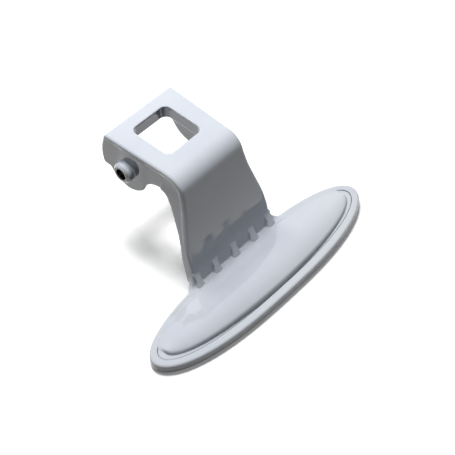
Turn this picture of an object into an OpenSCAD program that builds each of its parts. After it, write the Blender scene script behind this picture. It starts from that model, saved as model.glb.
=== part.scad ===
// Door handle of a washing machine.
// A leaf shaped grip carries a leaning channel arm, which bends into a flat top plate
// with a window and two side cheeks for the pivot pin.
// It stands on the show face of the grip: X runs along the leaf and the pivot,
// Y from the grip back to the pivot, Z up. The origin is under the middle of the tip line.

/* [Leaf outline] */
// Length of the leaf from tip to tip
leaf_l = 110; // [90:0.5:130]
// Depth of the leaf in front of its tip line
leaf_front = 14.3; // [12:0.1:20]
// Depth of the leaf behind its tip line
leaf_back = 13.1; // [12:0.1:16]
// Fullness of the leaf's tips
leaf_power = 2.6; // [2:0.1:3.5]

/* [Grip cover] */
// Height of the rim over the ground
rim_h = 4.1; // [3.6:0.1:6]
// Width of the rim band at the front and the tips
rim_band = 3.3; // [2.4:0.1:5]
// Width of the rim band at the back
rim_band_back = 2.5; // [2:0.1:4]
// Thickness of the show face
cover_floor = 2.4; // [1.6:0.1:2.8]
// Rounding of the lower edge
low_round = 0.9; // [0.6:0.1:2]
// Rounding of the rim's upper edge
rim_round = 0.9; // [0.3:0.1:1.2]
// Gap between the rim and the body's lip
seam_gap = 0.15; // [0.05:0.05:0.4]

/* [Pad] */
// Depth of the lip's face below the rim
lip_drop = 0.2; // [0:0.05:0.5]
// Distance of the pad's tips from the lip's tips
pad_tip = 2.35; // [1:0.05:8]
// Distance of the pad's front from the lip's front
pad_edge = 0.05; // [0.05:0.05:2]
// Fullness of the pad's tips
pad_power = 2.1; // [2:0.1:3]
// Height of the pad's crest over the ground
pad_top = 8.4; // [5.5:0.1:9]
// Place of the crest in front of the tip line
pad_crest = 5.0; // [2:0.1:7]

/* [Arm] */
// Place of the arm's front face where it meets the pad
arm_foot_y = 12.0; // [11:0.1:13]
// Lean of the arm away from the grip
arm_lean = 15.7; // [5:0.1:25]
// Thickness of the arm and the top plate
wall_t = 1.7; // [1.5:0.1:2.6]
// Thickness of the side walls
side_t = 1.5; // [1.4:0.1:2.2]
// Outer radius of the bend between the arm and the top plate
bend_r = 7.5; // [5:0.1:10]
// Width of the arm at the bend
arm_w_top = 31.6; // [28:0.2:34]
// Width of the arm above its foot
arm_w_low = 41.4; // [36:0.2:44]
// Height at which the arm reaches its lower width
flare_z = 17.5; // [14:0.1:22]
// Radius of the arm's foot at each side
foot_r = 3.0; // [2:0.1:3.5]
// Depth of the side walls at the foot
foot_depth = 4.4; // [3.6:0.1:5]
// Radius between the foot and the leaf's back edge
root_r = 4.5; // [3:0.1:5]

/* [Gussets] */
// Number of gussets along the foot
gussets = 5; // [3:1:7]
// Distance between gussets
gusset_pitch = 9.9; // [8:0.1:11]
// Thickness of each gusset
gusset_t = 3.0; // [1.5:0.1:4]
// Height of a gusset over the pad
gusset_h = 5.4; // [3:0.1:8]
// Reach of a gusset in front of the arm
gusset_reach = 1.9; // [1:0.1:3]

/* [Top plate] */
// Height of the top face over the ground
top_z = 46.3; // [42:0.1:55]
// Place of the top plate's rear edge
rear_y = 60; // [56:0.1:66]
// Width over the cheeks at the rear
top_w_rear = 34; // [32:0.2:38]
// Width of the window
window_w = 17.4; // [12:0.1:20]
// Length of the window
window_l = 18.5; // [12:0.1:20]
// Distance of the window from the rear edge
window_rear = 5.8; // [4:0.1:8]
// Corner radius of the window
window_r = 2.6; // [1:0.1:4]
// Depth of the window's walls below the top face
window_depth = 5.6; // [3:0.1:8]
// Thickness of the window's walls
window_t = 1.0; // [1:0.1:2]

/* [Cheeks and pivot] */
// Distance of the pivot from the rear edge
pivot_rear = 10.6; // [9:0.1:12]
// Depth of the pivot below the top face
pivot_down = 11.3; // [9:0.1:13]
// Diameter of the pivot bore
bore_d = 4.6; // [3:0.1:5]
// Diameter of the pivot boss
boss_d = 8.4; // [7.6:0.1:9.6]
// Diameter of the boss at its nose
nose_d = 7.0; // [6:0.1:7.4]
// Length of the boss outside the cheek
boss_out = 3.0; // [2:0.1:5]
// Radius of the cheeks' round lobe about the pivot
lobe_r = 9.3; // [8:0.1:10]
// Height of the cheeks' rear corner below the pivot
corner_down = 3.9; // [2.5:0.1:5]
// Bulge of the cheeks behind the rear edge
cheek_bulge = 1.7; // [0.5:0.1:2.5]
// Height over which the cheeks bulge
bulge_drop = 8.5; // [7:0.1:10]
// Height of the arch between the arm and the cheeks
arch_z = 36.5; // [34:0.1:38]
// Place of the arch's crown behind the tip line
arch_y = 33.2; // [32:0.1:34]
// Radius of the arch towards the arm
arch_r = 4.5; // [3:0.1:6]
// Radius of the arch towards the cheeks
arch_rear_r = 9.0; // [6:0.1:10]

/* [Hidden] */
$fn = 64;
cover_color = [0.80, 0.82, 0.86];
body_color = [0.74, 0.77, 0.82];
leaf_steps = 72;
slack = 0.01;
far = 200;

// Leaf and pad
lip_z = rim_h - lip_drop;
lip_half = leaf_l / 2 - rim_band - seam_gap;
lip_front = leaf_front - rim_band - seam_gap;
lip_back = leaf_back - rim_band_back - seam_gap;
notch_y = lip_back - 3;
pad_half = lip_half - pad_tip;
pad_front = lip_front - pad_edge;

// Arm, seen from the side: a line that leans back from the foot to the bend
lean_tan = tan(arm_lean);
corner_y = arm_foot_y + (top_z - rim_h) * lean_tan;
bend_run = bend_r * tan((90 - arm_lean) / 2);
bend_y = corner_y + bend_run;
bend_z = top_z - bend_r;
inner_r = bend_r - wall_t;
foot_half = arm_w_low / 2 + foot_r;

// Pivot and cheeks
pivot_y = rear_y - pivot_rear;
pivot_z = top_z - pivot_down;
window_y = rear_y - window_rear - window_l / 2;
taper = (top_w_rear - arm_w_top) / 2 / (rear_y - arch_y);
boss_x = arm_w_top / 2 + taper * (pivot_y - arch_y);

// Front face of the arm at a height
function arm_y(z) = arm_foot_y + (z - rim_h) * lean_tan;

// Leaf outline: fuller than an ellipse along X, of two depths along Y
function leaf_points(half, front, back, power) = [
    for (i = [0 : leaf_steps - 1])
        let (a = 360 * i / leaf_steps, c = cos(a), s = sin(a))
        [half * sign(c) * pow(abs(c), 2 / power), (s < 0 ? front : back) * s]
];

// Points of an arc about a centre
function arc(cx, cy, r, from, to, steps = 12) = [
    for (i = [0 : steps])
        let (a = from + (to - from) * i / steps)
        [cx + r * cos(a), cy + r * sin(a)]
];

module leaf(inset_front, inset_back) {
    polygon(leaf_points(leaf_l / 2 - inset_front, leaf_front - inset_front,
        leaf_back - inset_back, leaf_power));
}

// Solid through rings of the same number of points, from the lowest to the highest
module loft(rings) {
    n = len(rings[0]);
    last = (len(rings) - 1) * n;
    polyhedron(
        points = [for (ring = rings) for (p = ring) p],
        faces = concat(
            [[for (i = [0 : n - 1]) i]],
            [for (k = [0 : len(rings) - 2], i = [0 : n - 1])
                [k * n + i, k * n + n + i, k * n + (i + 1) % n]],
            [for (k = [0 : len(rings) - 2], i = [0 : n - 1])
                [k * n + (i + 1) % n, k * n + n + i, k * n + n + (i + 1) % n]],
            [[for (i = [n - 1 : -1 : 0]) last + i]]));
}

// Leaf outline at a height, drawn in by an inset
function leaf_ring(z, inset) = [
    for (p = leaf_points(leaf_l / 2 - inset, leaf_front - inset, leaf_back - inset, leaf_power))
        [p[0], p[1], z]
];

// Outer form of the cover, rounded below and at the rim
module cover_form() {
    loft(concat(
        [for (a = [0, 30, 60, 90])
            leaf_ring(low_round * (1 - cos(a)), low_round * (1 - sin(a)))],
        [for (a = [0, 45, 90])
            leaf_ring(rim_h - rim_round * (1 - sin(a)), rim_round * (1 - cos(a)))]));
}

// Show shell of the grip: a shallow dish with a notch for the arm's foot
module grip_cover() {
    color(cover_color)
    difference() {
        cover_form();
        translate([0, 0, cover_floor]) linear_extrude(far) leaf(rim_band, rim_band_back);
        translate([-foot_half - seam_gap, notch_y, cover_floor])
            cube([2 * (foot_half + seam_gap), leaf_back, far]);
    }
}

// Lays a drawing of the YZ plane across the part
module across(width) {
    translate([-width / 2, 0, 0])
        rotate([90, 0, 90]) linear_extrude(width) children();
}

// Lays a drawing of the XZ plane from front to back
module along(from, to) {
    translate([0, to, 0]) rotate([90, 0, 0]) linear_extrude(to - from) children();
}

// Outline of the pad at a share t of its rise: steep in front, a long fall to the back
function pad_ring(t) = [
    for (p = leaf_points(pad_half * sqrt(1 - t),
            pad_crest + (pad_front - pad_crest) * sqrt(1 - t * t),
            (lip_back + pad_crest) * sqrt(1 - t) - pad_crest, pad_power))
        [p[0], p[1], lip_z + (pad_top - lip_z) * t]
];

// Raised pad, and the lip that sits in the cover's rim and runs on under the arm
module pad() {
    translate([0, 0, cover_floor]) linear_extrude(lip_z - cover_floor) {
        polygon(leaf_points(lip_half, lip_front, lip_back, leaf_power));
        intersection() {
            leaf(0, 0);
            translate([-foot_half, notch_y + seam_gap]) square([2 * foot_half, leaf_back]);
        }
    }
    loft(concat(
        [[for (p = pad_ring(0)) [p[0], p[1], cover_floor + 0.5]]],
        [for (a = [0, 15, 30, 42, 54, 65, 75, 84]) pad_ring(sin(a))]));
}

// Side view of the arm, the plate and the cheeks, without the hollow
module outer_side() {
    root_y = arm_y(cover_floor);
    arch_a = 54;
    rear_r = 1.4;
    corner_r = 0.8;
    bulge_r = (bulge_drop * bulge_drop + cheek_bulge * cheek_bulge) / 2 / cheek_bulge;
    bulge_a = asin(bulge_drop / bulge_r);
    bulge_y = rear_y + cheek_bulge - bulge_r;
    bulge_z = top_z - rear_r - bulge_drop;
    corner_z = pivot_z - corner_down;
    corner_a = asin((corner_z + corner_r - bulge_z) / (bulge_r - corner_r));
    lobe_a = asin(corner_down / lobe_r);
    polygon(concat(
        [[root_y, cover_floor]],
        arc(bend_y, bend_z, bend_r, 180 - arm_lean, 90, 16),
        arc(rear_y - rear_r, top_z - rear_r, rear_r, 90, bulge_a, 5),
        arc(bulge_y, bulge_z, bulge_r, bulge_a, corner_a, 8),
        arc(bulge_y + (bulge_r - corner_r) * cos(corner_a), corner_z + corner_r,
            corner_r, corner_a, -90, 5),
        arc(pivot_y, pivot_z, lobe_r, -lobe_a, -145, 20),
        arc(arch_y, arch_z - arch_rear_r, arch_rear_r, 90 - arch_a, 90, 8),
        arc(arch_y, arch_z - arch_r, arch_r, 90, 90 + 55, 8),
        [[arm_y(22) + wall_t / cos(arm_lean), 22]],
        [[arm_y(12) + foot_depth - 0.8, 12]],
        [[arm_y(rim_h) + foot_depth, rim_h]],
        [[arm_y(rim_h) + foot_depth - 0.9, cover_floor]]));
}

// Side view of the hollow behind the arm and under the plate
module hollow_side() {
    shift = wall_t / cos(arm_lean);
    polygon(concat(
        [[arm_y(rim_h) + shift, rim_h]],
        arc(bend_y, bend_z, inner_r, 180 - arm_lean, 90, 12),
        [[rear_y + 20, top_z - wall_t], [rear_y + 20, rim_h]]));
}

// Front view of the arm: narrow at the bend, flaring to the foot
module arm_front(inset) {
    half_top = arm_w_top / 2 - inset;
    half_low = arm_w_low / 2 - inset;
    right = concat(
        [[half_top, far]],
        [[half_top, arch_z]],
        [[half_low, flare_z]],
        arc(half_low + foot_r, rim_h + foot_r, foot_r, 180, 270, 8),
        [[half_low + foot_r, -1]]);
    left = [for (i = [len(right) - 1 : -1 : 0]) [-right[i][0], right[i][1]]];
    polygon(concat(right, left));
}

// Plan of the plate and the cheeks: a little wider at the rear
module plate_plan(inset) {
    half_front = arm_w_top / 2 - inset;
    half_rear = half_front + taper * (rear_y + 20 - arch_y);
    polygon([[-half_front, arch_y], [half_front, arch_y],
        [half_rear, rear_y + 20], [-half_rear, rear_y + 20]]);
}

// Plan of the foot: curves out from the arm's sides to the leaf's back edge
module foot_plan() {
    half = arm_w_low / 2;
    right = concat(
        [[half, arch_y]],
        arc(half + root_r, leaf_back - 0.8 + root_r, root_r, 180, 270, 8),
        [[half + root_r, 0]]);
    left = [for (i = [len(right) - 1 : -1 : 0]) [-right[i][0], right[i][1]]];
    polygon(concat(right, left));
}

// Room between the outer faces of the side walls, or less an inset
module width_limits(inset) {
    intersection() {
        along(0, arch_y) arm_front(inset);
        linear_extrude(far) foot_plan();
    }
    linear_extrude(far) plate_plan(inset);
}

// Arm, plate and cheeks as one channel
module channel() {
    difference() {
        intersection() {
            across(leaf_l) outer_side();
            width_limits(0);
        }
        intersection() {
            across(leaf_l) hollow_side();
            width_limits(side_t);
        }
    }
}

// Concave web between the arm and the pad
module gusset() {
    foot_y = arm_y(lip_z) - gusset_reach;
    top_y = arm_y(lip_z + gusset_h);
    across(gusset_t)
        difference() {
            polygon([[foot_y, lip_z - 1], [top_y + 1, lip_z - 1], [top_y + 1, lip_z + gusset_h],
                [top_y, lip_z + gusset_h], [foot_y, lip_z + 0.6]]);
            translate([foot_y - 2.2, lip_z + gusset_h + 0.8]) circle(r = 4.6);
        }
}

module rounded_window(grow) {
    w = window_w / 2 - window_r;
    l = window_l / 2 - window_r;
    r = window_r + grow;
    translate([0, window_y]) {
        for (sx = [-1, 1], sy = [-1, 1])
            translate([sx * w, sy * l]) circle(r = r);
        square([2 * w, 2 * (l + r)], center = true);
        square([2 * (w + r), 2 * l], center = true);
    }
}

// Boss with a tapered nose on the outside of a cheek, turned to +X
module boss() {
    nose = 0.9;
    root = 0.5;
    translate([boss_x - side_t / 2, pivot_y, pivot_z]) rotate([0, 90, 0]) {
        cylinder(h = boss_out + side_t / 2 - nose, d = boss_d);
        cylinder(h = root + side_t / 2, d1 = boss_d + 0.6 + side_t, d2 = boss_d);
        translate([0, 0, boss_out + side_t / 2 - nose])
            cylinder(h = nose, d1 = boss_d, d2 = nose_d);
    }
}

// Moulding of the pad, the arm, the plate and the cheeks
module handle_body() {
    color(body_color)
    difference() {
        union() {
            channel();
            pad();
            for (i = [0 : gussets - 1])
                translate([(i - (gussets - 1) / 2) * gusset_pitch, 0, 0]) gusset();
            translate([0, 0, top_z - window_depth]) linear_extrude(window_depth - slack)
                rounded_window(window_t);
            boss();
            mirror([1, 0, 0]) boss();
        }
        translate([0, 0, top_z - window_depth - 1]) linear_extrude(window_depth + 2)
            rounded_window(0);
        translate([-leaf_l / 2, pivot_y, pivot_z]) rotate([0, 90, 0])
            cylinder(h = leaf_l, d = bore_d);
    }
}

grip_cover();
handle_body();
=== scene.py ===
"""Looks of the washing machine door handle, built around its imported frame.

The two mouldings are shaped as smooth fields, so that every edge has the radius a mould
gives it, and are then turned into meshes. Lengths in the shaping part are in millimetres:
X along the leaf and the pivot, Y from the grip back to the pivot, Z up.
"""

import math

import bpy
import numpy as np
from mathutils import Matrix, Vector


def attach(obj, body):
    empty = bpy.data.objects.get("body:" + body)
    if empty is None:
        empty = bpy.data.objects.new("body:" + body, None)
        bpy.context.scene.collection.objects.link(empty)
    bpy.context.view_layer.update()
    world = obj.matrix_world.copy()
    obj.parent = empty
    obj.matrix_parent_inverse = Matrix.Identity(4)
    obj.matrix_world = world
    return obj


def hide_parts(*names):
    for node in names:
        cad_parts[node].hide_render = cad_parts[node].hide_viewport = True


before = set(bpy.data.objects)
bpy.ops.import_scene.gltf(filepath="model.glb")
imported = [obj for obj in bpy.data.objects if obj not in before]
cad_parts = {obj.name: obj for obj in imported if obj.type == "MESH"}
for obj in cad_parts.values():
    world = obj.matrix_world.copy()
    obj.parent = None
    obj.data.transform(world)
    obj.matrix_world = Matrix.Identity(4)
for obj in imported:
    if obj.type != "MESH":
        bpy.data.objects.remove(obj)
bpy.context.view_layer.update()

MM = 0.001

# Leaf and cover
LEAF_HALF = 55.0
LEAF_FRONT = 14.3
LEAF_BACK = 13.1
LEAF_FULLNESS = 2.6
RIM_HEIGHT = 4.1
RIM_BAND = 3.3
RIM_BAND_BACK = 2.5
RIM_ROUND = 0.95
LOW_ROUND = 0.9
COVER_FLOOR = 2.4
SEAM_GAP = 0.16
NOTCH_HALF = 27.2
NOTCH_FROM = 4.0

# Lip and pad
LIP_TOP = RIM_HEIGHT - 0.2
FOOT_INSET = 0.03
BODY_BOTTOM = COVER_FLOOR + 0.02
PAD_HALF = 49.2
PAD_FORWARD = 10.8
PAD_BACKWARD = 24.0
PAD_FULLNESS = 2.1
PAD_FADE_HALF = 50.5
PAD_FADE_BACK = 10.2
PAD_TIP_RISE = 1.3
PAD_EXTRA_RISE = 2.7

# Arm, webs and top plate
ARM_FOOT_Y = 12.0
ARM_LEAN = math.radians(15.7)
WALL = 1.7
SIDE_WALL = 1.5
BEND_RADIUS = 7.5
FLARE = 3.0
FLARE_TOP = 10.5
FLARE_HEIGHT = 6.4
WEB_COUNT = 5
WEB_PITCH = 9.9
TOP = 46.3
PLATE_HALF = 15.8
PLATE_TAPER = 0.0448
REAR = 60.0
REAR_ROUND = 1.4
WINDOW_HALF_WIDTH = 8.7
WINDOW_HALF_LENGTH = 9.25
WINDOW_Y = 44.95
WINDOW_RADIUS = 2.6
WINDOW_DEPTH = 5.6
WINDOW_WALL = 1.0
STEP_DOWN = 1.85

# Cheeks and pivot
PIVOT_Y = 49.4
PIVOT_Z = 35.0
BORE_RADIUS = 2.3
BOSS_RADIUS = 4.1
NOSE_RADIUS = 3.2
BOSS_ROOT = 15.2
BOSS_FACE = 19.525
LOBE_RADIUS = 9.3
BULGE = 1.7
BULGE_DROP = 8.5
CORNER_DOWN = 3.9
CORNER_ROUND = 0.8
ARCH_Y = 33.2
ARCH_Z = 36.5
ARCH_RADIUS = 4.5
ARCH_REAR_RADIUS = 9.0


# Shaping tools: a field is negative inside a solid and grows by the distance from it.
# A sloping side is scaled by a little less than 1, so that this holds there too.


def soft_union(a, b, blend):
    """Joins two fields, with a fillet where they meet."""
    h = np.clip(0.5 + 0.5 * (b - a) / blend, 0, 1)
    return b + (a - b) * h - blend * h * (1 - h)


def round_meet(a, b, radius):
    """Keeps what lies inside both fields, with the edge rounded."""
    outside = np.sqrt(np.maximum(a + radius, 0) ** 2 + np.maximum(b + radius, 0) ** 2)
    return np.minimum(np.maximum(a, b), -radius) + outside


def smooth_step(low, high, value):
    t = np.clip((value - low) / (high - low), 0, 1)
    return t * t * (3 - 2 * t)


class Drawing:
    """A closed outline in two directions, kept as a table of signed distances."""

    def __init__(self, outline, low, high, pitch=0.16):
        self.low, self.pitch = np.array(low, float), pitch
        u = np.arange(low[0], high[0] + pitch, pitch)
        v = np.arange(low[1], high[1] + pitch, pitch)
        gu, gv = np.meshgrid(u, v, indexing="ij")
        nearest = np.full(gu.shape, 1e9)
        inside = np.zeros(gu.shape, bool)
        start = np.array(outline, float)
        for (au, av), (bu, bv) in zip(start, np.roll(start, -1, 0)):
            du, dv = bu - au, bv - av
            length = du * du + dv * dv
            if length < 1e-12:
                continue
            t = np.clip(((gu - au) * du + (gv - av) * dv) / length, 0, 1)
            nearest = np.minimum(nearest, (gu - au - t * du) ** 2 + (gv - av - t * dv) ** 2)
            if av != bv:
                crosses = (av > gv) != (bv > gv)
                inside ^= crosses & (gu < au + (gv - av) * du / dv)
        self.table = np.where(inside, -1, 1) * np.sqrt(nearest)

    def __call__(self, u, v):
        fu = np.clip((u - self.low[0]) / self.pitch, 0, self.table.shape[0] - 1.001)
        fv = np.clip((v - self.low[1]) / self.pitch, 0, self.table.shape[1] - 1.001)
        fu, fv = np.broadcast_arrays(fu, fv)
        i, j = fu.astype(int), fv.astype(int)
        a, b = fu - i, fv - j
        t = self.table
        return (t[i, j] * (1 - a) + t[i + 1, j] * a) * (1 - b) + (
            t[i, j + 1] * (1 - a) + t[i + 1, j + 1] * a
        ) * b


def arc(cu, cv, radius, start, end, steps=16):
    """Points of an arc, with its angles in degrees."""
    angles = np.radians(np.linspace(start, end, steps + 1))
    return [(cu + radius * math.cos(a), cv + radius * math.sin(a)) for a in angles]


def leaf_outline(half, front, back, fullness, steps=480):
    """Fuller than an ellipse along X, and of two depths along Y."""
    angles = np.linspace(0, 2 * math.pi, steps, endpoint=False)
    c, s = np.cos(angles), np.sin(angles)
    x = half * np.sign(c) * np.abs(c) ** (2 / fullness)
    return np.stack([x, np.where(s < 0, front, back) * s], 1)


def through(points, values):
    """A smooth curve through measured values, as a function."""
    points, values = np.array(points, float), np.array(values, float)
    fine = np.linspace(points[0], points[-1], 400)
    rough = np.interp(fine, points, values)
    width = 15
    kernel = np.hanning(2 * width + 1)
    padded = np.concatenate([np.full(width, rough[0]), rough, np.full(width, rough[-1])])
    smooth = np.convolve(padded, kernel / kernel.sum(), "valid")
    return lambda at: np.interp(at, fine, smooth)


def mesh_of_field(field, low, high, pitch):
    """Surface nets: one vertex in each cell that the surface crosses, then drawn onto it."""
    axes = [np.arange(a, b + pitch, pitch) for a, b in zip(low, high)]
    x, y, z = np.meshgrid(*axes, indexing="ij", sparse=True)
    value = np.broadcast_to(field(x, y, z), [len(a) for a in axes]).astype(np.float32)
    inside = value < 0
    count = sum(
        inside[i : i - 1 or None, j : j - 1 or None, k : k - 1 or None].astype(np.int8)
        for i in (0, 1)
        for j in (0, 1)
        for k in (0, 1)
    )
    cells = np.argwhere((count > 0) & (count < 8))
    number = np.full(count.shape, -1, np.int64)
    number[tuple(cells.T)] = np.arange(len(cells))
    corners = np.array([(i, j, k) for i in (0, 1) for j in (0, 1) for k in (0, 1)])
    at = [value[tuple((cells + c).T)] for c in corners]
    total = np.zeros((len(cells), 3))
    hits = np.zeros(len(cells))
    for a in range(8):
        for b in range(a + 1, 8):
            if np.abs(corners[a] - corners[b]).sum() != 1:
                continue
            cut = (at[a] < 0) != (at[b] < 0)
            share = np.where(cut, at[a] / np.where(cut, at[a] - at[b], 1), 0)
            spot = corners[a] + share[:, None] * (corners[b] - corners[a])
            total += np.where(cut[:, None], spot, 0)
            hits += cut
    points = (cells + total / hits[:, None]) * pitch + np.array(low)
    quads = []
    for axis in range(3):
        other = [n for n in range(3) if n != axis]
        ahead = np.zeros(3, int)
        ahead[axis] = 1
        a = inside[tuple(slice(None, -1) if n == axis else slice(None) for n in range(3))]
        b = inside[tuple(slice(1, None) if n == axis else slice(None) for n in range(3))]
        edges = np.argwhere(a != b)
        keep = np.ones(len(edges), bool)
        for n in other:
            keep &= (edges[:, n] > 0) & (edges[:, n] < inside.shape[n] - 1)
        edges = edges[keep]
        starts_inside = a[tuple(edges.T)]
        ring = []
        for s, t in ((1, 1), (0, 1), (0, 0), (1, 0)):
            back = np.zeros(3, int)
            back[other[0]], back[other[1]] = s, t
            ring.append(number[tuple((edges - back).T)])
        ring = np.stack(ring, 1)
        flip = starts_inside if axis != 1 else ~starts_inside
        ring[~flip] = ring[~flip][:, ::-1]
        quads.append(ring)
    quads = np.concatenate(quads)
    points = drawn_onto(field, points, pitch)
    return points, quads


def drawn_onto(field, points, pitch):
    """Moves the points along the slope of the field until they lie on the surface."""
    reach = 0.02
    for _ in range(4):
        slope = np.stack(
            [
                (field(*(points + step).T) - field(*(points - step).T)) / (2 * reach)
                for step in np.eye(3) * reach
            ],
            1,
        )
        steep = np.maximum((slope**2).sum(1), 0.05)
        move = -(field(*points.T) / steep)[:, None] * slope
        far = np.linalg.norm(move, axis=1)
        points = points + move * np.minimum(1, 0.4 * pitch / np.maximum(far, 1e-9))[:, None]
    return points


def refined(field, points, quads, wanted, pitch):
    """Cuts the wanted quads in four, and gives their neighbours the new corners."""
    chosen = wanted(*points[quads].mean(1).T)
    edges = np.sort(np.stack([quads, np.roll(quads, -1, 1)], 2), 2)
    codes = edges[..., 0] * len(points) + edges[..., 1]
    cut = np.unique(codes[chosen])
    number = len(points) + np.searchsorted(cut, codes)
    is_cut = np.isin(codes, cut)
    middles = (points[cut // len(points)] + points[cut % len(points)]) / 2
    corner, middle = quads[chosen], number[chosen]
    centre = len(points) + len(cut) + np.arange(len(corner))
    small = [
        np.stack([corner[:, n], middle[:, n], centre, middle[:, n - 1]], 1) for n in range(4)
    ]
    border = ~chosen & is_cut.any(1)
    bordering = []
    for ring, marks, halves in zip(quads[border], is_cut[border], number[border]):
        face = []
        for here, mark, half in zip(ring, marks, halves):
            face += [here, half] if mark else [here]
        bordering.append(face)
    middles = np.concatenate([middles, points[corner].mean(1)])
    points = np.concatenate([points, drawn_onto(field, middles, pitch)])
    return points, [*np.concatenate([quads[~chosen & ~border], *small]), *bordering]


def make_piece(name, points, faces):
    """A mesh object at the origin from points in millimetres."""
    mesh = bpy.data.meshes.new(name)
    mesh.vertices.add(len(points))
    mesh.vertices.foreach_set("co", np.ravel(points) * MM)
    corners = np.concatenate([np.ravel(face) for face in faces])
    sizes = np.array([len(face) for face in faces])
    mesh.loops.add(len(corners))
    mesh.loops.foreach_set("vertex_index", corners)
    mesh.polygons.add(len(faces))
    mesh.polygons.foreach_set("loop_start", np.cumsum(sizes) - sizes)
    mesh.update(calc_edges=True)
    mesh.validate()
    mesh.polygons.foreach_set("use_smooth", [True] * len(mesh.polygons))
    piece = bpy.data.objects.new(name, mesh)
    bpy.context.scene.collection.objects.link(piece)
    return piece


# Node helpers


def feed(tree, socket, value):
    """Gives a socket a value, or a link from another socket."""
    if isinstance(value, bpy.types.NodeSocket):
        tree.links.new(value, socket)
    else:
        socket.default_value = value


def math_on(tree, operation, *values):
    node = tree.nodes.new("ShaderNodeMath")
    node.operation = operation
    for socket, value in zip(node.inputs, values):
        feed(tree, socket, value)
    return node.outputs[0]


def map_range(tree, value, start, end, low=0.0, high=1.0, interpolation="SMOOTHSTEP"):
    node = tree.nodes.new("ShaderNodeMapRange")
    node.interpolation_type = interpolation
    labels = ("Value", "From Min", "From Max", "To Min", "To Max")
    for label, number in zip(labels, (value, start, end, low, high)):
        feed(tree, node.inputs[label], number)
    return node.outputs["Result"]


def add_sockets(tree, in_out, kind, *labels):
    for label in labels:
        tree.interface.new_socket(label, in_out=in_out, socket_type="NodeSocket" + kind)


# Drawings of the leaf, its seam and the pad, in plan

PLAN_LOW, PLAN_HIGH = (-58, -17), (58, 22)
SIDE_LOW, SIDE_HIGH = (-18, -3), (68, 52)


def leaf_drawing(inset, inset_back):
    outline = leaf_outline(
        LEAF_HALF - inset, LEAF_FRONT - inset, LEAF_BACK - inset_back, LEAF_FULLNESS
    )
    return Drawing(outline, PLAN_LOW, PLAN_HIGH)


LEAF = leaf_drawing(0, 0)
SEAM = leaf_drawing(RIM_BAND, RIM_BAND_BACK)
PAD = Drawing(
    leaf_outline(PAD_HALF, PAD_FORWARD, PAD_BACKWARD, PAD_FULLNESS), PLAN_LOW, PLAN_HIGH
)


# Side drawings of the arm


def arm_front(z):
    return ARM_FOOT_Y + (z - RIM_HEIGHT) * math.tan(ARM_LEAN)


BEND_Y = arm_front(TOP) + BEND_RADIUS * math.tan((math.pi / 2 - ARM_LEAN) / 2)
BEND_Z = TOP - BEND_RADIUS

SKIN = Drawing(
    [(arm_front(-20), -20)]
    + arc(BEND_Y, BEND_Z, BEND_RADIUS, 180 - math.degrees(ARM_LEAN), 90, 24)
    + [(90, TOP), (90, -20)],
    SIDE_LOW,
    SIDE_HIGH,
)

# Rear edge of the side walls, from under the arch down to the foot
WALL_EDGE = [
    (27.3, 31.6), (23.9, 26.2), (21.6, 22.2), (20.3, 19.0), (19.3, 15.0), (18.4, 10.5),
    (17.6, 7.0), (16.8, 4.1), (16.6, 2.4),
]


def cheek_outline():
    """The rear and lower edges of the cheeks and the side walls."""
    radius = (BULGE_DROP**2 + BULGE**2) / 2 / BULGE
    bulge_y, bulge_z = REAR + BULGE - radius, TOP - REAR_ROUND - BULGE_DROP
    tilt = math.degrees(math.asin(BULGE_DROP / radius))
    corner_z = PIVOT_Z - CORNER_DOWN
    corner_reach = radius - CORNER_ROUND
    dip = math.degrees(math.asin((corner_z + CORNER_ROUND - bulge_z) / corner_reach))
    corner_y = bulge_y + corner_reach * math.cos(math.radians(dip))
    lobe = math.degrees(math.asin(CORNER_DOWN / LOBE_RADIUS))
    return (
        [(0, 60), (REAR, 60), (REAR, TOP)]
        + arc(REAR - REAR_ROUND, TOP - REAR_ROUND, REAR_ROUND, 60, tilt, 5)
        + arc(bulge_y, bulge_z, radius, tilt, dip, 12)
        + arc(corner_y, corner_z + CORNER_ROUND, CORNER_ROUND, dip, -80, 6)
        + arc(PIVOT_Y + 9.0, corner_z - 0.55, 0.6, 80, 130, 4)
        + arc(PIVOT_Y, PIVOT_Z, LOBE_RADIUS, -lobe - 4, -143, 30)
        + arc(ARCH_Y, ARCH_Z - ARCH_REAR_RADIUS, ARCH_REAR_RADIUS, 34, 90, 14)
        + arc(ARCH_Y, ARCH_Z - ARCH_RADIUS, ARCH_RADIUS, 90, 146, 10)
        + WALL_EDGE
        + [(16.6, -20), (-18, -20), (-18, 60)]
    )


CHEEK = Drawing(cheek_outline(), SIDE_LOW, SIDE_HIGH)

# Half the arm's width by height
ARM_WIDTH = through(
    (0, 4.9, 6.1, 7.8, 9.2, 13.6, 18.0, 21.9, 27.8, 33.4, 39.5, 42.5, 60),
    (20.8, 20.8, 20.8, 20.8, 20.8, 20.7, 20.4, 19.6, 18.1, 16.7, 15.85, 15.75, 15.75),
)


def half_width(y, z):
    """Half the width over the side walls: by height on the arm, by depth on the plate."""
    plate = PLATE_HALF + PLATE_TAPER * (y - ARCH_Y)
    flare = FLARE * np.clip((FLARE_TOP - z) / FLARE_HEIGHT, 0, 1) ** 2.4
    in_front = 1 - smooth_step(12.2, 16.2, y)
    return np.where(y > ARCH_Y, plate, ARM_WIDTH(z) + flare * in_front)


def window_distance(x, y):
    u = np.abs(x) - (WINDOW_HALF_WIDTH - WINDOW_RADIUS)
    v = np.abs(y - WINDOW_Y) - (WINDOW_HALF_LENGTH - WINDOW_RADIUS)
    reach = np.sqrt(np.maximum(u, 0) ** 2 + np.maximum(v, 0) ** 2)
    return reach + np.minimum(np.maximum(u, v), 0) - WINDOW_RADIUS


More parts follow.
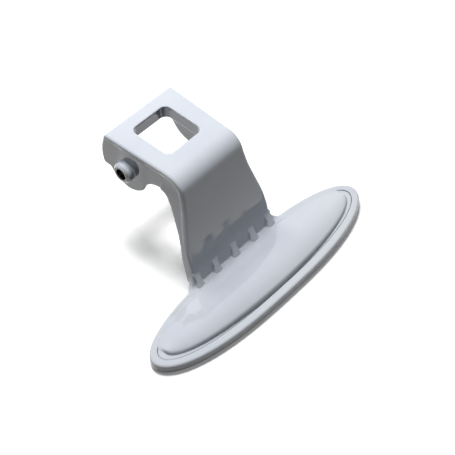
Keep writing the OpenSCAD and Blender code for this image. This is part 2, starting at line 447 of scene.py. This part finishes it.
# The pad's section from front to back: its height over the front edge, its crest, its end
PAD_FRONT, PAD_CREST_AT = 0.46, 0.37
PAD_CURVE = np.linalg.solve(
    [
        [PAD_CREST_AT, PAD_CREST_AT**2, PAD_CREST_AT**3],
        [1, 2 * PAD_CREST_AT, 3 * PAD_CREST_AT**2],
        [1, 1, 1],
    ],
    [1 - PAD_FRONT, 0, -PAD_FRONT],
)


def pad_height(x, y):
    """Top of the pad over the lip: a roll in front, a broad crest, a long fall to the back."""
    to_tip, to_fade = np.abs(x) / PAD_HALF, np.abs(x) / PAD_FADE_HALF
    along = np.clip(1 - to_fade**2.2, 0, 1)
    from_edge = np.maximum(-PAD(x, y), 0)
    roll = 1 - np.clip(from_edge / (0.65 + 0.3 * along), 0, 1)
    edge = np.maximum(1 - roll**2.1, 0) ** 0.5
    front_edge = -PAD_FORWARD * np.clip(1 - to_tip**PAD_FULLNESS, 0, 1) ** 0.476
    back_edge = PAD_FADE_BACK * np.clip(1 - to_fade**2.4, 0, 1) ** 0.5
    t = np.clip((y - front_edge) / np.maximum(back_edge - front_edge, 1.0), 0, 1)
    section = PAD_FRONT + PAD_CURVE[0] * t + PAD_CURVE[1] * t**2 + PAD_CURVE[2] * t**3
    return (PAD_TIP_RISE + PAD_EXTRA_RISE * along) * edge * section


def side_step(y, z, skin):
    """A shallow step along the side walls, just below the skin, fading over the plate."""
    fade = 1 - 0.8 * smooth_step(38, 43, y) * (1 - smooth_step(49, 54, y))
    return 0.28 * smooth_step(1.75, 1.9, -skin) * fade * smooth_step(12, 20, z)


def skin_relief(x, z):
    """How far back the arm's front stands: forward low down, and sunk over the webs."""
    bow = 0.2 * smooth_step(13, 19, z) + 0.22 * smooth_step(15, 24, z)
    bow -= 0.2 * smooth_step(8.5, 13, z) + 0.22 * smooth_step(26, 44, z)
    row = 0.5 + 0.5 * np.cos(x * 2 * math.pi / WEB_PITCH)
    return bow + 0.09 * row**2 * smooth_step(11, 15, z) * (1 - smooth_step(15.5, 20, z))


def grip_field(x, y, z):
    """The lip that fills the cover, with the pad on it."""
    seam = SEAM(x, y) + SEAM_GAP
    lip = round_meet(seam, np.maximum(z - LIP_TOP, BODY_BOTTOM - z), 0.15)
    pad = (z - LIP_TOP - pad_height(x, y)) * 0.8
    pad = np.maximum(np.maximum(pad, PAD(x, y)), np.maximum(seam, COVER_FLOOR + 0.3 - z))
    fillet = smooth_step(-1, 4, y) * smooth_step(22, 28, np.abs(x))
    return soft_union(lip, pad, 0.02 + 1.3 * fillet)


def foot_field(x, y, z):
    """The arm's foot, where it crosses the rim through the cover's notch."""
    foot = round_meet(LEAF(x, y) + FOOT_INSET, z - RIM_HEIGHT + FOOT_INSET, RIM_ROUND)
    foot = np.maximum(foot, np.maximum(BODY_BOTTOM - z, NOTCH_FROM - y))
    behind_seam = -SEAM(x, y) - SEAM_GAP
    return np.maximum(foot, np.maximum(np.abs(x) - NOTCH_HALF - 0.7, behind_seam))


def channel_field(x, y, z):
    """The arm, the plate and the cheeks, hollow behind and below."""
    wide = (np.abs(x) - half_width(y, z)) * 0.97
    skin = SKIN(y, z) + skin_relief(x, z)
    stepped = wide + side_step(y, z, skin)
    outer = round_meet(round_meet(skin, stepped, 1.0), CHEEK(y, z), 0.35)
    outer = np.maximum(outer, BODY_BOTTOM - z)
    hollow = round_meet(skin + WALL, wide + SIDE_WALL, 0.9)
    return round_meet(outer, -np.maximum(hollow, RIM_HEIGHT - z), 0.3)


def body_field(x, y, z):
    """The moulding of the pad, the arm, the plate and the cheeks."""
    side = np.abs(x)
    window = window_distance(x, y)
    half_depth = WINDOW_DEPTH / 2
    skirt = round_meet(window - WINDOW_WALL, np.abs(z - TOP + half_depth) - half_depth, 0.3)
    channel = soft_union(channel_field(x, y, z), np.maximum(skirt, z - TOP + 0.8), 0.6)

    from_axis = np.sqrt((y - PIVOT_Y) ** 2 + (z - PIVOT_Z) ** 2)
    boss_ends = np.maximum(side - BOSS_FACE, BOSS_ROOT - side)
    boss = round_meet(from_axis - BOSS_RADIUS, boss_ends, 0.1)
    nose = (from_axis - NOSE_RADIUS + (side - BOSS_FACE)) * 0.7071
    channel = soft_union(channel, round_meet(boss, nose, 0.1), 0.2)

    grip = soft_union(foot_field(x, y, z), grip_field(x, y, z), 0.3)
    joined = soft_union(channel, grip, 0.4 + 1.2 * smooth_step(18.6, 20.8, side))
    joined = round_meet(joined, -window, 0.3)
    return round_meet(joined, BORE_RADIUS - from_axis, 0.2)


def cover_field(x, y, z):
    """The show shell of the grip: a shallow dish, notched for the foot."""
    form = round_meet(LEAF(x, y), z - RIM_HEIGHT, RIM_ROUND)
    form = round_meet(form, -z, LOW_ROUND)
    seam = SEAM(x, y)
    form = round_meet(form, -round_meet(seam, COVER_FLOOR - z, 0.2), 0.12)
    notch = np.maximum(np.abs(x) - NOTCH_HALF, np.maximum(-seam - 0.8, COVER_FLOOR - z))
    return round_meet(form, -np.maximum(notch, NOTCH_FROM - y), 0.04)


def fine_on_body(x, y, z):
    """The bosses, the lip along the seam, the step on the sides and the root of the arm."""
    side = np.abs(x)
    boss = (np.hypot(y - PIVOT_Y, z - PIVOT_Z) < 5.4) & (side > 15.6)
    step = (np.abs(SKIN(y, z) + 1.83) < 0.3) & (side > 15.2) & (z > 14)
    root = (np.abs(y - 11.6) < 1.5) & (side < 23) & (z > 3) & (z < 5.5)
    return boss | step | root | ((np.abs(SEAM(x, y)) < 0.55) & (z < 4.3))


def fine_on_cover(x, y, z):
    return (np.abs(SEAM(x, y)) < 0.5) & (z > 2.2)


def moulding(name, field, low, high, pitch, fine):
    points, quads = mesh_of_field(field, low, high, pitch)
    return make_piece(name, *refined(field, points, quads, fine, pitch / 2))


body_piece = moulding(
    "handle_moulding", body_field, (-54, -13, 1.2), (54, 64, 48), 0.46, fine_on_body
)
cover_piece = moulding(
    "grip_shell", cover_field, (-56.5, -15.8, -1.0), (56.5, 14.6, 5.4), 0.36, fine_on_cover
)

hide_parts("handle_body")
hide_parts("grip_cover")
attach(body_piece, "root")
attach(cover_piece, "root")

# Webs at the root of the arm, all from one tree


def web_tree():
    """Equal bow-tie webs in a row, sunk into the arm behind and the foot below."""
    tree = bpy.data.node_groups.new("root_webs", "GeometryNodeTree")
    add_sockets(tree, "OUTPUT", "Geometry", "Geometry")
    add_sockets(tree, "INPUT", "Int", "Webs")
    add_sockets(tree, "INPUT", "Float", *WEB_SIZES)
    add_sockets(tree, "INPUT", "Material", "Material")
    start = tree.nodes.new("NodeGroupInput").outputs
    end = tree.nodes.new("NodeGroupOutput").inputs

    def put(socket, value):
        feed(tree, socket, value)

    def work(operation, *values):
        return math_on(tree, operation, *values)

    def times(a, b):
        return work("MULTIPLY", a, b)

    def plus(a, b):
        return work("ADD", a, b)

    def less(a, b):
        return work("SUBTRACT", a, b)

    def share_past(start_at, value, span):
        """0 up to a start, then a curve that reaches 1 after the span."""
        past = work("MAXIMUM", less(value, start_at), 0.0)
        return work("POWER", work("DIVIDE", past, span), 1.7)

    def vector(x=0.0, y=0.0, z=0.0):
        node = tree.nodes.new("ShaderNodeCombineXYZ")
        for socket, value in zip(node.inputs, (x, y, z)):
            put(socket, value)
        return node.outputs[0]

    def place():
        node = tree.nodes.new("ShaderNodeSeparateXYZ")
        put(node.inputs[0], tree.nodes.new("GeometryNodeInputPosition").outputs[0])
        return node.outputs

    # One web: a block whose width has a waist and whose front is hollow
    block = tree.nodes.new("GeometryNodeMeshCube")
    for label, count in (("Vertices X", 5), ("Vertices Y", 3), ("Vertices Z", 9)):
        block.inputs[label].default_value = count
    across, through_wall, up = place()
    height = plus(up, 0.5)
    waist_at = start["Waist At"]
    below = share_past(height, waist_at, waist_at)
    above = share_past(waist_at, height, less(1.0, waist_at))
    width = plus(
        start["Waist Width"],
        plus(
            times(below, less(start["Foot Width"], start["Waist Width"])),
            times(above, less(start["Top Width"], start["Waist Width"])),
        ),
    )
    reach = times(work("POWER", less(1.0, height), 1.15), start["Reach"])
    rounding = times(work("POWER", work("ABSOLUTE", times(across, 2.0)), 4.0), 0.25)
    reach = times(reach, less(1.0, rounding))
    behind = plus(through_wall, 0.5)
    depth = less(times(behind, start["Sunk"]), times(less(1.0, behind), reach))
    rise = times(height, start["Height"])
    lean = times(rise, start["Arm Slope"])
    shape = tree.nodes.new("GeometryNodeSetPosition")
    put(shape.inputs["Geometry"], block.outputs["Mesh"])
    put(shape.inputs["Position"], vector(times(across, width), plus(depth, lean), rise))
    soft = tree.nodes.new("GeometryNodeSubdivisionSurface")
    soft.inputs["Level"].default_value = 2
    put(soft.inputs["Mesh"], shape.outputs[0])
    smooth = tree.nodes.new("GeometryNodeSetShadeSmooth")
    put(smooth.inputs["Geometry"], soft.outputs[0])

    # The row: the outer webs stand a little further in and lean inwards
    row = tree.nodes.new("GeometryNodeMeshLine")
    put(row.inputs["Count"], start["Webs"])
    put(row.inputs["Offset"], vector(start["Pitch"]))
    half_row = times(start["Pitch"], work("DIVIDE", less(start["Webs"], 1.0), 2.0))

    def outermost():
        """-1 and 1 at the row's ends, and near 0 between them."""
        return work("POWER", work("DIVIDE", place()[0], half_row), 5.0)

    centred = tree.nodes.new("GeometryNodeSetPosition")
    put(centred.inputs["Geometry"], row.outputs["Mesh"])
    first = vector(less(0.0, half_row), start["Foot Y"], start["Foot Z"])
    put(centred.inputs["Offset"], first)
    spread = tree.nodes.new("GeometryNodeSetPosition")
    put(spread.inputs["Geometry"], centred.outputs[0])
    put(spread.inputs["Offset"], vector(times(outermost(), start["Outer Shift"])))
    stand = tree.nodes.new("GeometryNodeInstanceOnPoints")
    put(stand.inputs["Points"], spread.outputs[0])
    put(stand.inputs["Instance"], smooth.outputs[0])
    turn = tree.nodes.new("FunctionNodeEulerToRotation")
    put(turn.inputs[0], vector(0.0, times(outermost(), start["Outer Lean"])))
    put(stand.inputs["Rotation"], turn.outputs[0])
    real = tree.nodes.new("GeometryNodeRealizeInstances")
    put(real.inputs[0], stand.outputs[0])
    dressed = tree.nodes.new("GeometryNodeSetMaterial")
    put(dressed.inputs["Geometry"], real.outputs[0])
    put(dressed.inputs["Material"], start["Material"])
    put(end[0], dressed.outputs[0])
    return tree


WEB_SIZES = {
    "Pitch": WEB_PITCH * MM,
    "Height": 5.5 * MM,
    "Reach": 2.0 * MM,
    "Sunk": 0.7 * MM,
    "Top Width": 4.3 * MM,
    "Waist Width": 2.8 * MM,
    "Foot Width": 4.5 * MM,
    "Waist At": 0.48,
    "Arm Slope": math.tan(ARM_LEAN),
    "Outer Lean": -0.05,
    "Outer Shift": -0.45 * MM,
    "Foot Y": (ARM_FOOT_Y - 0.05) * MM,
    "Foot Z": (RIM_HEIGHT - 0.35) * MM,
}


def row_of_webs(material):
    host = bpy.data.objects.new("webs_host", bpy.data.meshes.new("webs_host"))
    bpy.context.scene.collection.objects.link(host)
    modifier = host.modifiers.new("webs", "NODES")
    modifier.node_group = web_tree()
    values = dict(WEB_SIZES, Webs=WEB_COUNT, Material=material)
    for item in modifier.node_group.interface.items_tree:
        if item.in_out == "INPUT":
            modifier[item.identifier] = values[item.name]
    host.update_tag()
    ready = host.evaluated_get(bpy.context.evaluated_depsgraph_get())
    mesh = bpy.data.meshes.new_from_object(ready)
    host.modifiers.remove(modifier)
    bpy.data.objects.remove(host)
    mesh.name = "root_webs"
    webs = bpy.data.objects.new("root_webs", mesh)
    bpy.context.scene.collection.objects.link(webs)
    return webs


# Moulded plastic, shared by both mouldings


def moulded_surface():
    """Slow drift of the colour, uneven gloss, and the fine waviness of a moulded skin."""
    tree = bpy.data.node_groups.new("moulded_surface", "ShaderNodeTree")
    add_sockets(tree, "INPUT", "Color", "Colour")
    add_sockets(tree, "INPUT", "Float", "Drift", "Gloss Low", "Gloss High", "Grain")
    add_sockets(tree, "OUTPUT", "Color", "Colour")
    add_sockets(tree, "OUTPUT", "Float", "Roughness", "Height")
    start = tree.nodes.new("NodeGroupInput").outputs
    end = tree.nodes.new("NodeGroupOutput").inputs
    spot = tree.nodes.new("ShaderNodeTexCoord").outputs["Object"]
    link = tree.links.new

    def noise(scale, detail, rough=0.5):
        node = tree.nodes.new("ShaderNodeTexNoise")
        node.inputs["Scale"].default_value = scale
        node.inputs["Detail"].default_value = detail
        node.inputs["Roughness"].default_value = rough
        link(spot, node.inputs["Vector"])
        return node.outputs["Fac"]

    def scaled(value, low, high):
        return map_range(tree, value, 0.3, 0.7, low, high, "LINEAR")

    def blend(operation, fac, a, b):
        node = tree.nodes.new("ShaderNodeMix")
        node.data_type = "RGBA"
        node.blend_type = operation
        for place, value in zip((0, 6, 7), (fac, a, b)):
            feed(tree, node.inputs[place], value)
        return node.outputs[2]

    cloud = scaled(noise(38, 3), 0.0, 1.0)
    tint = blend("MIX", cloud, (0.85, 0.865, 0.92, 1), (1.0, 1.0, 0.985, 1))
    link(blend("MULTIPLY", start["Drift"], start["Colour"], tint), end["Colour"])
    link(scaled(noise(70, 4, 0.6), start["Gloss Low"], start["Gloss High"]), end["Roughness"])
    waves, peel = noise(230, 1), noise(2600, 2)
    link(math_on(tree, "MULTIPLY_ADD", peel, start["Grain"], waves), end["Height"])
    return tree


MOULDED = moulded_surface()


def painted_shade_places():
    """Painted shade: 1 in the pivot bores, and high along the line of the cheeks' step."""
    tree = bpy.data.node_groups.new("painted_shade_places", "ShaderNodeTree")
    add_sockets(tree, "INPUT", "Float", "Bore Radius")
    add_sockets(tree, "OUTPUT", "Float", "Dark")
    start = tree.nodes.new("NodeGroupInput").outputs
    spot = tree.nodes.new("ShaderNodeSeparateXYZ")
    tree.links.new(tree.nodes.new("ShaderNodeTexCoord").outputs["Object"], spot.inputs[0])
    across, along, up = spot.outputs

    def work(operation, *values):
        return math_on(tree, operation, *values)

    def ramp(value, low, high):
        return map_range(tree, value, low * MM, high * MM)

    behind = work("POWER", work("SUBTRACT", along, PIVOT_Y * MM), 2.0)
    above = work("POWER", work("SUBTRACT", up, PIVOT_Z * MM), 2.0)
    # Painted shade: the inside of the pivot bores is drawn near black
    bore = work("LESS_THAN", work("SQRT", work("ADD", behind, above)), start["Bore Radius"])
    # Painted shade: a thin dark line along the cheeks' step, where its corner lies in shade
    line = ramp(work("ABSOLUTE", work("SUBTRACT", up, (TOP - STEP_DOWN) * MM)), 0.24, 0.04)
    line = work("MULTIPLY", line, ramp(work("ABSOLUTE", across), 15.0, 15.2))
    line = work("MULTIPLY", line, work("MULTIPLY", ramp(along, 36, 41), ramp(along, 60.5, 57)))
    dark = work("MAXIMUM", bore, work("MULTIPLY", line, 0.75))
    tree.links.new(dark, tree.nodes.new("NodeGroupOutput").inputs[0])
    return tree


def plastic(name, colour, drift, gloss, bump):
    """Silver grey gloss plastic, with the roughness between two bounds."""
    material = bpy.data.materials.new(name)
    material.use_nodes = True
    tree = material.node_tree
    shader = tree.nodes["Principled BSDF"]
    shader.inputs["IOR"].default_value = 1.62
    skin = tree.nodes.new("ShaderNodeGroup")
    skin.node_tree = MOULDED
    skin.inputs["Colour"].default_value = (*colour, 1)
    skin.inputs["Drift"].default_value = drift
    skin.inputs["Gloss Low"].default_value = gloss[0]
    skin.inputs["Gloss High"].default_value = gloss[1]
    skin.inputs["Grain"].default_value = 0.05
    relief = tree.nodes.new("ShaderNodeBump")
    relief.inputs["Strength"].default_value = bump
    relief.inputs["Distance"].default_value = 0.2 * MM
    tree.links.new(skin.outputs["Height"], relief.inputs["Height"])
    tree.links.new(skin.outputs["Colour"], shader.inputs["Base Color"])
    tree.links.new(skin.outputs["Roughness"], shader.inputs["Roughness"])
    tree.links.new(relief.outputs["Normal"], shader.inputs["Normal"])
    return material


def paint_shade_places(material):
    """Mixes near black painted shade into the colour, in the bores and along the cheeks' step.
    """
    tree = material.node_tree
    shader = tree.nodes["Principled BSDF"]
    shade = tree.nodes.new("ShaderNodeGroup")
    shade.node_tree = painted_shade_places()
    shade.inputs["Bore Radius"].default_value = (BORE_RADIUS + 0.06) * MM
    mix = tree.nodes.new("ShaderNodeMix")
    mix.data_type = "RGBA"
    # The near black of the painted shade
    mix.inputs[7].default_value = (0.02, 0.02, 0.022, 1)
    tree.links.new(shade.outputs["Dark"], mix.inputs[0])
    tree.links.new(shader.inputs["Base Color"].links[0].from_socket, mix.inputs[6])
    tree.links.new(mix.outputs[2], shader.inputs["Base Color"])


body_plastic = plastic(
    "body_plastic", (0.50, 0.525, 0.57), drift=0.6, gloss=(0.015, 0.04), bump=0.3
)
# Painted shade in the pivot bores and along the cheeks' step
paint_shade_places(body_plastic)
cover_plastic = plastic(
    "cover_plastic", (0.505, 0.53, 0.565), drift=0.5, gloss=(0.03, 0.07), bump=0.25
)
body_piece.data.materials.append(body_plastic)
cover_piece.data.materials.append(cover_plastic)

web_piece = row_of_webs(body_plastic)
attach(web_piece, "root")

# Camera at the photograph's angle

# The focal length is 1205 pixels of a picture 455 pixels wide
SENSOR = 36
camera_data = bpy.data.cameras.new("camera")
camera_data.sensor_width = SENSOR
camera_data.lens = 1205 / 455 * SENSOR
camera_data.clip_start, camera_data.clip_end = 0.01, 50
camera = bpy.data.objects.new("camera", camera_data)
bpy.context.scene.collection.objects.link(camera)
camera.location = Vector((-206.07, -172.55, 353.34)) * MM
camera.rotation_mode = "QUATERNION"
camera.rotation_quaternion = Vector((0.4703, 0.4297, -0.7708)).to_track_quat("-Z", "Y")
bpy.context.scene.camera = camera

# Floor and light


def light_path_value(tree, base, camera_ray, glossy_ray):
    """A base value, with a share added for what the camera sees and for what gloss mirrors."""
    rays = tree.nodes.new("ShaderNodeLightPath").outputs
    value = math_on(tree, "MULTIPLY_ADD", rays["Is Camera Ray"], camera_ray, base)
    return math_on(tree, "MULTIPLY_ADD", rays["Is Glossy Ray"], glossy_ray, value)


def glow_far_off(tree, near, far):
    """The floor's own glow: near round the object, far beyond it, where the lamp gives out."""
    length = tree.nodes.new("ShaderNodeVectorMath")
    length.operation = "LENGTH"
    tree.links.new(tree.nodes.new("ShaderNodeTexCoord").outputs["Object"], length.inputs[0])
    return map_range(tree, length.outputs["Value"], 0.2, 1.0, near, far)


FLOOR_HALF = 6000
floor_corners = [
    (x * FLOOR_HALF, y * FLOOR_HALF, 0) for x, y in ((-1, -1), (1, -1), (1, 1), (-1, 1))
]
floor = make_piece("floor", floor_corners, [(0, 1, 2, 3)])
floor_material = bpy.data.materials.new("floor_white")
floor_material.use_nodes = True
floor_tree = floor_material.node_tree
floor_shader = floor_tree.nodes["Principled BSDF"]
floor_shader.inputs["Roughness"].default_value = 1.0
floor_shader.inputs["Specular IOR Level"].default_value = 0.0
floor_shader.inputs["Emission Color"].default_value = (1, 1, 1, 1)
floor_tree.links.new(
    light_path_value(floor_tree, base=0.06, camera_ray=0.88, glossy_ray=0.8),
    floor_shader.inputs["Base Color"],
)
floor_glow = glow_far_off(floor_tree, near=0.17, far=1.0)
floor_tree.links.new(
    light_path_value(floor_tree, base=0.0, camera_ray=floor_glow, glossy_ray=0.45),
    floor_shader.inputs["Emission Strength"],
)
floor.data.materials.append(floor_material)

world = bpy.data.worlds.new("studio")
world.use_nodes = True
sky = world.node_tree.nodes["Background"]
sky.inputs["Color"].default_value = (0.9, 0.95, 1.0, 1)
world.node_tree.links.new(
    light_path_value(world.node_tree, base=0.03, camera_ray=0.97, glossy_ray=1.3),
    sky.inputs["Strength"],
)
bpy.context.scene.world = world


def lamp(name, place, size, power):
    """An area lamp that faces the grip, and that gloss doesn't mirror."""
    data = bpy.data.lights.new(name, "AREA")
    data.shape = "RECTANGLE"
    data.size, data.size_y = size
    data.energy = power
    light = bpy.data.objects.new(name, data)
    bpy.context.scene.collection.objects.link(light)
    light.location = place
    light.rotation_mode = "QUATERNION"
    aim = Vector((0, 0.02, 0.02)) - light.location
    light.rotation_quaternion = aim.to_track_quat("-Z", "Y")
    light.visible_glossy = False


lamp("top_light", (0.07, 0.235, 0.79), (0.31, 0.16), 7.6)
lamp("plate_light", (0.0, 0.13, 0.20), (0.04, 0.04), 0.12)

bpy.context.scene.view_settings.view_transform = "Standard"
